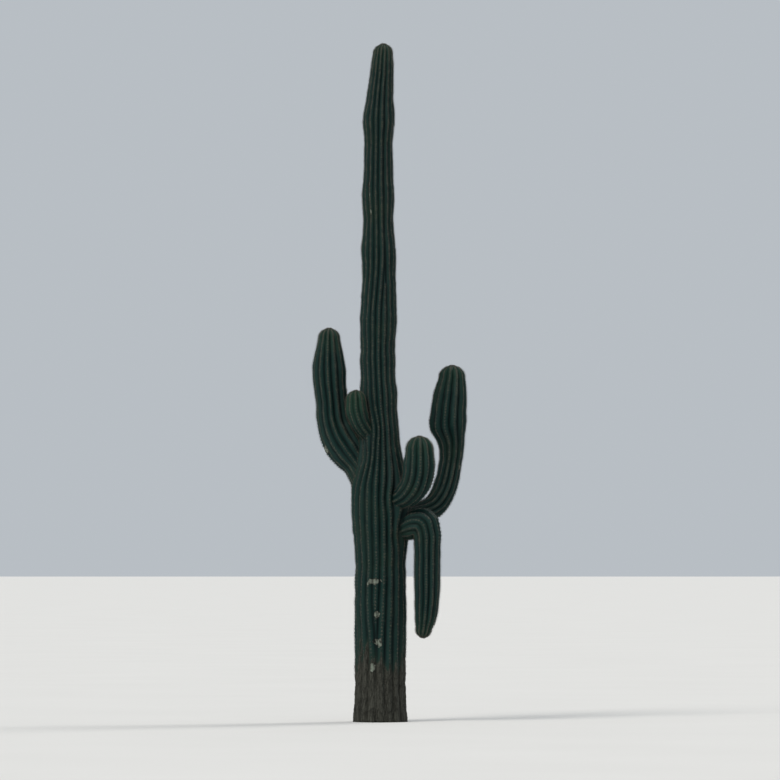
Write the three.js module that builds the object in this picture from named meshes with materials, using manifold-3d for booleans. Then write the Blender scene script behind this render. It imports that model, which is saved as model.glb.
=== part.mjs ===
// A saguaro cactus as a group of closed meshes: a ribbed trunk, two raised arms, a short front arm,
// an arm that hangs down, and a young bud. Millimetres, +Z up. The origin is the middle of the flat
// cut under the trunk, at ground level. The plant is seen from -Y, with +X to the right.

import * as THREE from "three";
import { mergeVertices } from "three/addons/utils/BufferGeometryUtils.js";
import Module from "manifold-3d";

const wasm = await Module();
wasm.setup();

// Driving dimensions
const HEIGHT = 7000;
const CLEARANCE = 0.4; // between a solid and its neighbour
const RIB_DEPTH = 0.42; // of the mean distance from crest to crest
const CREST = [0.3, 0.7]; // where a rib's blunt crest starts and ends, across the rib
const DOME_STEPS = 5; // rings in a rounded tip
const STEPS = 2; // rings between two stations of an arm

// The trunk: [height, radius over the crests]. It swells below the arms and narrows above them.
const TRUNK_RADIUS = [
  [0, 285],
  [300, 266],
  [1200, 266],
  [1700, 261],
  [2000, 287],
  [2250, 297],
  [2450, 287],
  [2850, 208],
  [3050, 197],
  [3200, 186],
  [3400, 190],
  [3580, 176],
  [3720, 180],
  [3860, 174],
  [4120, 189],
  [4250, 181],
  [4400, 178],
  [4600, 168],
  [4840, 176],
  [5150, 153],
  [5450, 163],
  [5650, 149],
  [6030, 145],
  [6200, 162],
  [6430, 138],
  [6700, 117],
  [6820, 110],
  [6895, 101],
];
const TRUNK_SHIFT = [
  [0, 0],
  [2600, 0],
  [3700, -26],
  [4120, -20],
  [4600, -13],
  [5000, -21],
  [6200, -16],
  [6450, -4],
  [6700, 15],
  [HEIGHT, 32],
];
const TRUNK_RIBS = 20;
const TRUNK_RING_STEP = 170;
const FOOT_RIB_HEIGHT = 1100; // the ribs are worn shallow below this
const FOOT_RIB_DEPTH = 0.4;

// Ribs that don't run the whole height: [rib, height where it is half grown, way]. The rib stands above
// that height where way is 1, and below it where way is -1.
const PART_RIBS = [
  [5, 1350, 1],
  [14, 1000, 1],
  [11, 2950, -1],
  [2, 3500, -1],
  [16, 4550, -1],
  [8, 5300, -1],
];
const RIB_FADE = 380;
const THINNEST_RIB = 0.12; // of a full rib's width

// Each arm leaves the trunk in its own upright plane. turn is that plane's angle from +X towards +Y,
// in degrees. Its stations are [distance out from the trunk's axis, height, radius over the crests],
// and the last is the tip. bend is the station where the curved foot ends and the straight part starts.
const ARMS = {
  left_arm: {
    feet: ["elbow", "upright"],
    turn: 168,
    ribs: 13,
    bend: 5,
    stations: [
      [60, 2380, 130],
      [138, 2485, 156],
      [232, 2640, 176],
      [350, 2800, 192],
      [440, 2950, 190],
      [496, 3120, 172],
      [513, 3300, 163],
      [535, 3500, 170],
      [543, 3680, 166],
      [543, 3945, 112],
      [542, 4060],
    ],
  },
  right_arm: {
    feet: ["elbow", "upright"],
    turn: 35,
    ribs: 12,
    bend: 5,
    stations: [
      [120, 2095, 92],
      [305, 2125, 108],
      [525, 2160, 114],
      [676, 2223, 119],
      [785, 2347, 122],
      [842, 2480, 122],
      [886, 2650, 118],
      [904, 2830, 129],
      [893, 2930, 149],
      [857, 3060, 194],
      [864, 3200, 187],
      [887, 3380, 174],
      [911, 3560, 138],
      [914, 3690],
    ],
  },
  front_arm: {
    feet: ["elbow", "upright"],
    turn: -42,
    ribs: 12,
    bend: 4,
    stations: [
      [110, 2255, 95],
      [235, 2285, 115],
      [370, 2335, 134],
      [480, 2430, 150],
      [531, 2550, 158],
      [542, 2670, 161],
      [541, 2790, 143],
      [541, 2930],
    ],
  },
  hanging_arm: {
    feet: ["shoulder", "drop"],
    turn: -20,
    ribs: 12,
    bend: 5,
    stations: [
      [110, 1950, 98],
      [245, 1985, 124],
      [370, 2030, 154],
      [474, 2024, 159],
      [513, 1925, 144],
      [515, 1780, 135],
      [514, 1500, 134],
      [510, 1250, 126],
      [494, 1060, 108],
      [478, 960, 82],
      [462, 870],
    ],
  },
  left_bud: {
    feet: [],
    turn: 215,
    ribs: 10,
    stations: [
      [70, 2930, 74],
      [160, 2985, 98],
      [245, 3080, 108],
      [296, 3200, 110],
      [306, 3310, 99],
      [308, 3408],
    ],
  },
};

const SKIN_COLOUR = 0x33483a;
const YOUNG_COLOUR = 0x3c5540;

// A smooth curve through [place, value] pairs, level past both ends
function through(stations) {
  const last = stations.length - 1;
  const slopes = stations.map((_, i) => {
    const [x0, y0] = stations[Math.max(i - 1, 0)];
    const [x1, y1] = stations[Math.min(i + 1, last)];
    return (y1 - y0) / (x1 - x0);
  });
  return (x) => {
    if (x <= stations[0][0]) return stations[0][1];
    if (x >= stations[last][0]) return stations[last][1];
    const i = stations.findIndex(([place]) => place > x) - 1;
    const [x0, y0] = stations[i];
    const [x1, y1] = stations[i + 1];
    const span = x1 - x0;
    const t = (x - x0) / span;
    return (
      y0 * (1 + 2 * t) * (1 - t) ** 2 +
      slopes[i] * span * t * (1 - t) ** 2 +
      y1 * t * t * (3 - 2 * t) +
      slopes[i + 1] * span * t * t * (t - 1)
    );
  };
}

// How far each rib is grown, from 0 to 1
function evenRibs(count) {
  return Array(count).fill(1);
}

function trunkRibs(height) {
  const grown = evenRibs(TRUNK_RIBS);
  for (const [rib, middle, way] of PART_RIBS)
    grown[rib] = THREE.MathUtils.smoothstep((way * (height - middle)) / RIB_FADE, -1, 1);
  return grown;
}

// The corners of one ribbed ring, in order round it. A rib that isn't fully grown is narrow and low.
function ribbedRing({ middle, outward, sideways, radius, grown, depth = RIB_DEPTH }) {
  const widths = grown.map((g) => THINNEST_RIB + (1 - THINNEST_RIB) * g);
  const whole = widths.reduce((sum, width) => sum + width, 0);
  const valley = (depth * 2 * Math.PI * radius) / whole;
  const corners = [];
  let start = 0;
  const corner = (share, r) => {
    const angle = (2 * Math.PI * share) / whole;
    corners.push(
      middle
        .clone()
        .addScaledVector(outward, r * Math.cos(angle))
        .addScaledVector(sideways, r * Math.sin(angle)),
    );
  };
  grown.forEach((g, rib) => {
    corner(start, radius - valley);
    for (const across of CREST) corner(start + across * widths[rib], radius - valley * (1 - g));
    start += widths[rib];
  });
  return { middle, corners };
}

// A closed geometry over a stack of rings, flat at the first ring and at the last, or pointed at a tip
function skin(rings, tip) {
  const points = [];
  const faces = [];
  const around = rings[0].corners.length;
  for (const ring of rings) points.push(...ring.corners);
  const foot = points.push(rings[0].middle) - 1;
  const head = points.push(tip ?? rings.at(-1).middle) - 1;
  const top = (rings.length - 1) * around;
  for (let i = 0; i < around; i++) {
    const next = (i + 1) % around;
    for (let row = 0; row < top; row += around)
      faces.push(row + i, row + next, row + around + next, row + i, row + around + next, row + around + i);
    faces.push(foot, next, i, head, top + i, top + next);
  }
  const geometry = new THREE.BufferGeometry().setFromPoints(points);
  geometry.setIndex(faces);
  return geometry;
}

// The trunk, with its surface moved out by grow
function trunkGeometry(grow = 0) {
  const radiusAt = through(TRUNK_RADIUS);
  const shiftAt = through(TRUNK_SHIFT);
  const domeFoot = TRUNK_RADIUS.at(-1)[0];
  const depthAt = (height) => {
    const worn = 1 - THREE.MathUtils.smoothstep(height, 0, FOOT_RIB_HEIGHT);
    return RIB_DEPTH * THREE.MathUtils.lerp(1, FOOT_RIB_DEPTH, worn);
  };
  const ringAt = (height, radius) =>
    ribbedRing({
      middle: new THREE.Vector3(shiftAt(height), 0, height),
      outward: new THREE.Vector3(1, 0, 0),
      sideways: new THREE.Vector3(0, 1, 0),
      radius: radius + grow,
      grown: trunkRibs(height),
      depth: depthAt(height),
    });
  const rows = Math.round(domeFoot / TRUNK_RING_STEP);
  const rings = [];
  for (let i = 0; i <= rows; i++) {
    const height = (domeFoot * i) / rows;
    rings.push(ringAt(height, radiusAt(height)));
  }
  for (let i = 1; i < DOME_STEPS; i++) {
    const angle = (Math.PI / 2) * (i / DOME_STEPS);
    const height = domeFoot + (HEIGHT - domeFoot) * Math.sin(angle);
    rings.push(ringAt(height, radiusAt(domeFoot) * Math.cos(angle)));
  }
  return skin(rings, new THREE.Vector3(shiftAt(HEIGHT), 0, HEIGHT + grow));
}

// An arm's centreline and rings. A place along it counts its stations: 2.5 is halfway from the third
// to the fourth.
class Arm {
  constructor({ turn, ribs, stations }) {
    const angle = THREE.MathUtils.degToRad(turn);
    this.sideways = new THREE.Vector3(-Math.sin(angle), Math.cos(angle), 0);
    this.curve = new THREE.CatmullRomCurve3(
      stations.map(([out, up]) => new THREE.Vector3(out * Math.cos(angle), out * Math.sin(angle), up)),
    );
    this.tip = stations.length - 1;
    this.radiusAt = through(stations.slice(0, -1).map((station, i) => [i, station[2]]));
    this.grown = evenRibs(ribs);
  }

  ring(place, radius = this.radiusAt(place)) {
    const share = place / this.tip;
    const outward = this.sideways.clone().cross(this.curve.getTangent(share));
    return ribbedRing({
      middle: this.curve.getPoint(share),
      outward,
      sideways: this.sideways,
      radius,
      grown: this.grown,
    });
  }

  // Rings from one place to another, the first moved on by gap
  rings(from, to, gap = 0) {
    const step = 1e-3;
    const speed =
      this.curve.getPoint((from + step) / this.tip).distanceTo(this.curve.getPoint(from / this.tip)) / step;
    const rings = [this.ring(from + gap / speed)];
    for (let i = 1; i <= (to - from) * STEPS; i++) rings.push(this.ring(from + i / STEPS));
    return rings;
  }

  dome() {
    const foot = this.tip - 1;
    const rings = [];
    for (let i = 1; i < DOME_STEPS; i++) {
      const angle = (Math.PI / 2) * (i / DOME_STEPS);
      rings.push(this.ring(foot + Math.sin(angle), this.radiusAt(foot) * Math.cos(angle)));
    }
    return rings;
  }

  // The stretch from one place to the next, or on to the rounded tip
  stretch(from, to, gap) {
    if (to !== undefined) return skin(this.rings(from, to, gap));
    return skin([...this.rings(from, this.tip - 1, gap), ...this.dome()], this.curve.getPoint(1));
  }
}

function toSolid(geometry) {
  const merged = mergeVertices(geometry, 1e-3);
  return new wasm.Manifold(
    new wasm.Mesh({
      numProp: 3,
      vertProperties: merged.attributes.position.array,
      triVerts: new Uint32Array(merged.index.array),
    }),
  );
}

function toGeometry(solid) {
  const { numProp, numVert, vertProperties, triVerts } = solid.getMesh();
  const positions = new Float32Array(numVert * 3);
  for (let i = 0; i < numVert; i++)
    positions.set(vertProperties.subarray(i * numProp, i * numProp + 3), i * 3);
  return new THREE.BufferGeometry()
    .setAttribute("position", new THREE.BufferAttribute(positions, 3))
    .setIndex(new THREE.BufferAttribute(triVerts, 1));
}

function addNode(group, name, geometry, colour) {
  geometry.computeVertexNormals();
  const material = new THREE.MeshStandardMaterial({ color: colour, roughness: 0.6, metalness: 0 });
  const mesh = new THREE.Mesh(geometry, material);
  mesh.name = name;
  group.add(mesh);
}

const saguaro = new THREE.Group();
addNode(saguaro, "trunk", trunkGeometry(), SKIN_COLOUR);

// An arm's foot stops at the trunk's ribs, a clearance off them.
const trunkRoom = toSolid(trunkGeometry(CLEARANCE));
for (const [name, sizes] of Object.entries(ARMS)) {
  const arm = new Arm(sizes);
  const [foot, rest] = sizes.feet;
  const atTrunk = toGeometry(toSolid(arm.stretch(0, sizes.bend)).subtract(trunkRoom));
  addNode(saguaro, foot ? `${name}_${foot}` : name, atTrunk, foot ? SKIN_COLOUR : YOUNG_COLOUR);
  if (rest) addNode(saguaro, `${name}_${rest}`, arm.stretch(sizes.bend, undefined, CLEARANCE), SKIN_COLOUR);
}

export default saguaro;
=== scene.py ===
"""A tall saguaro cactus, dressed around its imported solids.

The trunk and each arm become one ribbed skin, set with felted areoles and their spines. Lengths are in
metres and +Z is up. The plant stands on the origin and is seen from -Y, with +X to the right.
"""

import logging
import math
from collections.abc import Callable, Mapping, Sequence
from dataclasses import dataclass, field
from enum import Enum

import bpy
import numpy as np
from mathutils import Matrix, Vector


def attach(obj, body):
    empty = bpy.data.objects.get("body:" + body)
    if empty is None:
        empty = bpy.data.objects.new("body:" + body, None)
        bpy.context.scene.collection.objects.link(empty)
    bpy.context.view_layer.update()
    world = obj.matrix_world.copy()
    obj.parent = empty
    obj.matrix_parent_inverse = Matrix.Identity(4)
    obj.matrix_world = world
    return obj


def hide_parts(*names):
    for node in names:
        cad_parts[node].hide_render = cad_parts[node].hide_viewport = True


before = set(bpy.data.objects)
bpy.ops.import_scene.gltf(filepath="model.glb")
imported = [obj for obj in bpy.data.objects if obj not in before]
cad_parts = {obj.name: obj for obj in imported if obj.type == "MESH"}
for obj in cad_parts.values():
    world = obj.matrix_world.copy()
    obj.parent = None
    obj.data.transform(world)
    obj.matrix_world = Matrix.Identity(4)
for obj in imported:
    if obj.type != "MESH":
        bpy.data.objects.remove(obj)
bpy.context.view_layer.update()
BODY = "root"

LOG = logging.getLogger("saguaro")

Colour = tuple[float, float, float]
Place = tuple[float, float, float]
Stretch = tuple[float, float, float]
Span = tuple[float, float]
Stations = Sequence[tuple[float, ...]]

FULL_TURN = 2.0 * math.pi
GOLDEN_ANGLE = math.radians(137.508)

# What is added to a limb's seed for these draws. Its ripples have numbers of their own.
AREOLE_DRAW = 5
FELT_DRAW = 7
SPINE_DRAW = 8


# Shapes of curves

def ramp(values: np.ndarray, low: float | np.ndarray, high: float | np.ndarray) -> np.ndarray:
    """Gives a smooth rise from 0 where a value is low to 1 where it is high.

    Args:
        values: the values to read.
        low: the value, or one for each, where the rise begins.
        high: the value, or one for each, where it ends.

    Returns:
        An array like values, from 0 to 1.
    """
    share = np.clip((values - low) / (high - low), 0.0, 1.0)
    return share * share * (3.0 - 2.0 * share)


def bell(distance: np.ndarray) -> np.ndarray:
    """Gives 1 where the distance is 0, falling smoothly away on both sides."""
    return np.exp(-0.5 * distance**2)


def unit(vectors: np.ndarray) -> np.ndarray:
    """Gives vectors, held in the last axis of an array, a length of 1."""
    return vectors / np.linalg.norm(vectors, axis=-1, keepdims=True)


def running_total(steps: np.ndarray) -> np.ndarray:
    """Gives the running total of some steps, with 0 before the first."""
    return np.concatenate([[0.0], np.cumsum(steps)])


def turned_from(angle: np.ndarray, turn: float) -> np.ndarray:
    """Gives how far angles lie past a direction, at most half a turn either way."""
    return (angle - turn + math.pi) % FULL_TURN - math.pi


def smooth_through(stations: Stations) -> Callable[[np.ndarray | float], np.ndarray]:
    """Gives a smooth curve through (place, value) pairs, level past both ends.

    Args:
        stations: the pairs, in order of place.

    Returns:
        A function from places to values.
    """
    places, values = np.array(stations, float).T
    last = len(places) - 1
    before = np.maximum(np.arange(last + 1) - 1, 0)
    after = np.minimum(np.arange(last + 1) + 1, last)
    slopes = (values[after] - values[before]) / (places[after] - places[before])

    def value_at(x: np.ndarray | float) -> np.ndarray:
        """Reads the curve.

        Args:
            x: the places to read it at.

        Returns:
            Its value at each place.
        """
        x = np.clip(x, places[0], places[-1])
        i = np.clip(np.searchsorted(places, x, side="right") - 1, 0, last - 1)
        span = places[i + 1] - places[i]
        t = (x - places[i]) / span
        return (
            values[i] * (1 + 2 * t) * (1 - t) ** 2
            + slopes[i] * span * t * (1 - t) ** 2
            + values[i + 1] * t * t * (3 - 2 * t)
            + slopes[i + 1] * span * t * t * (t - 1)
        )

    return value_at


@dataclass(frozen=True)
class Ripples:
    """Smooth, seeded unevenness in space, made of crossing waves.

    Attributes:
        number: what it adds to a limb's seed, for a draw of its own.
        length: the distance from one swell to the next.
        height: how high the swells stand.
        waves: how many waves cross.
        spread: the shortest and longest wave, as shares of the length.
    """

    number: int
    length: float
    height: float
    waves: int = 10
    spread: Span = (0.7, 1.5)

    def at(self, points: np.ndarray, seed: int) -> np.ndarray:
        """Reads the unevenness at points, mostly between its height below 0 and its height above.

        Args:
            points: an array whose last axis holds x, y and z.
            seed: the limb's seed.

        Returns:
            One number for each point.
        """
        draw = np.random.default_rng(seed + self.number)
        ways = unit(draw.normal(size=(self.waves, 3)))
        lengths = self.length * draw.uniform(*self.spread, self.waves)
        phases = draw.uniform(0.0, FULL_TURN, self.waves)
        waves = np.sin(points @ (ways * (FULL_TURN / lengths)[:, None]).T + phases)
        return self.height * (waves.sum(axis=-1) / math.sqrt(self.waves))


def uneven(ripples: Sequence[Ripples], points: np.ndarray, seed: int, level: float = 0.0) -> np.ndarray:
    """Adds up some ripples at points, on top of a level."""
    return sum((each.at(points, seed) for each in ripples), start=level)


class Centreline:
    """A centripetal Catmull-Rom curve. Places on it count its points: 2.5 is between the third and fourth."""

    def __init__(self, points: np.ndarray) -> None:
        """Takes its points, and runs on straight past both ends.

        Args:
            points: the points that it goes through, one to a row.
        """
        first = 2 * points[0] - points[1]
        last = 2 * points[-1] - points[-2]
        self.points = np.vstack([first, points, last])
        self.end = len(points) - 1

    def at(self, places: np.ndarray) -> np.ndarray:
        """Gives points of the curve.

        Args:
            places: where on it they are.

        Returns:
            The points, one to a row.
        """
        i = np.clip(np.floor(places).astype(int), 0, self.end - 1)
        a, b, c, d = (self.points[i + step] for step in range(4))
        before, within, after = (
            np.sqrt(np.linalg.norm(end - start, axis=1))[:, None] for start, end in ((a, b), (b, c), (c, d))
        )
        leave = within * ((b - a) / before - (c - a) / (before + within) + (c - b) / within)
        arrive = within * ((c - b) / within - (d - b) / (within + after) + (d - c) / after)
        t = (places - i)[:, None]
        square, cube = t * t, t**3
        return (
            b * (2 * cube - 3 * square + 1)
            + c * (3 * square - 2 * cube)
            + leave * (cube - 2 * square + t)
            + arrive * (cube - square)
        )

    def point(self, place: float) -> np.ndarray:
        """Gives one point of the curve."""
        return self.at(np.array([float(place)]))[0]

    def heading(self, places: np.ndarray, step: float = 1e-3) -> np.ndarray:
        """Gives the curve's directions, as unit vectors."""
        ahead = self.at(np.minimum(places + step, self.end))
        return unit(ahead - self.at(np.maximum(places - step, 0.0)))


# What grows on the skin

@dataclass
class Areoles:
    """The felted spots that spines grow from, one row of each array to a spot.

    Attributes:
        place: their middles on the skin.
        out: unit vectors that point away from the skin.
        up: unit vectors along the rib, towards the limb's tip.
        size: their sizes, where 1 is a full one.
        age: from 0 at a growing tip to 1 on the corky foot.
    """

    place: np.ndarray
    out: np.ndarray
    up: np.ndarray
    size: np.ndarray
    age: np.ndarray

    def _parts(self) -> tuple[np.ndarray, ...]:
        """Gives the arrays, in the order of the attributes."""
        return self.place, self.out, self.up, self.size, self.age

    def only(self, mask: np.ndarray) -> "Areoles":
        """Gives the areoles that the mask picks."""
        return Areoles(*(part[mask] for part in self._parts()))

    def with_more(self, more: "Areoles") -> "Areoles":
        """Gives these areoles and more."""
        return Areoles(*(np.concatenate(pair) for pair in zip(self._parts(), more._parts())))

    @property
    def side(self) -> np.ndarray:
        """Unit vectors across the rib."""
        return np.cross(self.up, self.out)


# Meshes

def in_scene(name: str, data: bpy.types.ID) -> bpy.types.Object:
    """Makes an object and puts it in the scene.

    Args:
        name: its name.
        data: its mesh, light or camera.

    Returns:
        The object.
    """
    made = bpy.data.objects.new(name, data)
    bpy.context.scene.collection.objects.link(made)
    return made


@dataclass
class Shape:
    """A mesh in the making.

    Attributes:
        points: its corners, one to a row.
        faces: the corners of each face.
        looks: for each face, which of the piece's finishes it takes.
        fields: numbers at the corners that the finish reads, by name.
        map: a place on the unit square for each corner of each face, where the finish is drawn.
        smooth: whether its faces are shaded as one curved surface.
    """

    points: np.ndarray
    faces: list[list[int]]
    looks: np.ndarray | None = None
    fields: dict[str, np.ndarray] = field(default_factory=dict)
    map: np.ndarray | None = None
    smooth: bool = True

    def piece(self, name: str, materials: Sequence[bpy.types.Material]) -> bpy.types.Object:
        """Makes the object, with its materials.

        Args:
            name: the piece's name.
            materials: its finishes, in the order that looks counts them.

        Returns:
            The object, in the scene.
        """
        mesh = bpy.data.meshes.new(name)
        mesh.from_pydata(self.points.tolist(), [], self.faces)
        mesh.polygons.foreach_set("use_smooth", np.full(len(self.faces), self.smooth))
        for material in materials:
            mesh.materials.append(material)
        if self.looks is not None:
            mesh.polygons.foreach_set("material_index", self.looks.astype(np.int32))
        for title, values in self.fields.items():
            values = np.ascontiguousarray(values, np.float32).ravel()
            mesh.attributes.new(title, "FLOAT", "POINT").data.foreach_set("value", values)
        if self.map is not None:
            mesh.uv_layers.new(name="OFBake").uv.foreach_set("vector", self.map.astype(np.float32).ravel())
        mesh.update()
        return in_scene(name, mesh)


# Shader maths

class Field:
    """A number or colour that varies over a surface. Python's operators on it add Math nodes."""

    def __init__(self, graph: "Graph", socket: bpy.types.NodeSocket) -> None:
        """Wraps one output of a node in the graph."""
        self.graph = graph
        self.socket = socket

    def _maths(self, operation: str, *values: "Field | float") -> "Field":
        """Adds a Math node on some values."""
        return self.graph.node("ShaderNodeMath", {"operation": operation}, dict(enumerate(values)))

    def __add__(self, other: "Field | float") -> "Field":
        """Adds."""
        return self._maths("ADD", self, other)

    __radd__ = __add__

    def __sub__(self, other: "Field | float") -> "Field":
        """Subtracts."""
        return self._maths("SUBTRACT", self, other)

    def __rsub__(self, other: float) -> "Field":
        """Subtracts this field from a number."""
        return self._maths("SUBTRACT", other, self)

    def __mul__(self, other: "Field | float") -> "Field":
        """Multiplies."""
        return self._maths("MULTIPLY", self, other)

    __rmul__ = __mul__

    def blend(self, share: "Field", other: "Field") -> "Field":
        """Goes over to another field as share goes from 0 to 1."""
        return self + (other - self) * share

    def about(self, swing: float) -> "Field":
        """Gives how far noise is from its middle of 0.5, times swing."""
        return (self - 0.5) * swing

    def rise(self, low: float, high: float) -> "Field":
        """Gives a smooth rise from 0 where the field is low to 1 where it is high."""
        values = {"Value": self, "From Min": low, "From Max": high}
        return self.graph.node("ShaderNodeMapRange", {"interpolation_type": "SMOOTHSTEP"}, values)


class Graph:
    """The nodes of one material."""

    def __init__(self, name: str) -> None:
        """Starts a material.

        Args:
            name: its name.
        """
        self.material = bpy.data.materials.new(name)
        self.material.use_nodes = True
        self.tree = self.material.node_tree
        self.shader = self.tree.nodes["Principled BSDF"]

    def node(
        self,
        kind: str,
        settings: Mapping[str, object] | None = None,
        values: Mapping[int | str, object] | None = None,
        output: int | str = 0,
    ) -> Field:
        """Adds a node.

        Args:
            kind: the node's type.
            settings: its properties, set first.
            values: a field, number or colour for some of its input sockets.
            output: the output socket to give.

        Returns:
            The field that the output holds.
        """
        made = self.tree.nodes.new(kind)
        for name, value in (settings or {}).items():
            setattr(made, name, value)
        for place, value in (values or {}).items():
            self._fill(made.inputs[place], value)
        return Field(self, made.outputs[output])

    def _fill(self, socket: bpy.types.NodeSocket, value: object) -> None:
        """Gives a socket its value.

        Args:
            socket: the input socket.
            value: a field to link to it, or a number, vector or colour to set it to.
        """
        if isinstance(value, Field):
            self.tree.links.new(value.socket, socket)
        elif socket.type == "RGBA":
            socket.default_value = (*value, 1.0)
        else:
            socket.default_value = value

    def attribute(self, name: str) -> Field:
        """Reads a number that the mesh holds at its corners."""
        return self.node("ShaderNodeAttribute", {"attribute_name": name}, output="Fac")

    def place(self, stretch: Stretch = (1.0, 1.0, 1.0)) -> Field:
        """Gives the place in the plant's own frame, stretched along each axis."""
        where = self.node("ShaderNodeTexCoord", output="Object")
        return self.node("ShaderNodeVectorMath", {"operation": "MULTIPLY"}, {0: where, 1: stretch})

    def noise(self, place: Field, scale: float, detail: float = 2.0, roughness: float = 0.5) -> Field:
        """Adds cloudy unevenness from 0 to 1, with that many clouds to a metre."""
        values = {"Vector": place, "Scale": scale, "Detail": detail, "Roughness": roughness}
        return self.node("ShaderNodeTexNoise", None, values)

    def mix(self, share: Field | float, without: Field | Colour, whole: Field | Colour) -> Field:
        """Mixes two colours, from the first where share is 0 to the second where it is 1."""
        values = {0: share, 6: without, 7: whole}
        return self.node("ShaderNodeMix", {"data_type": "RGBA"}, values, output=2)

    def dress(self, **looks: Field | float | Colour) -> bpy.types.Material:
        """Sets the shader's sockets.

        Args:
            looks: what each one gets, by its name with _ for a space.

        Returns:
            The material.
        """
        for name, value in looks.items():
            self._fill(self.shader.inputs[name.replace("_", " ")], value)
        return self.material

    def relief(self, height: Field, depth: float) -> Field:
        """Turns a height from 0 to 1 into a bumped normal, where 1 stands that many metres proud."""
        return self.node("ShaderNodeBump", None, {"Strength": 1.0, "Distance": depth, "Height": height})


# Finishes

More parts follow.
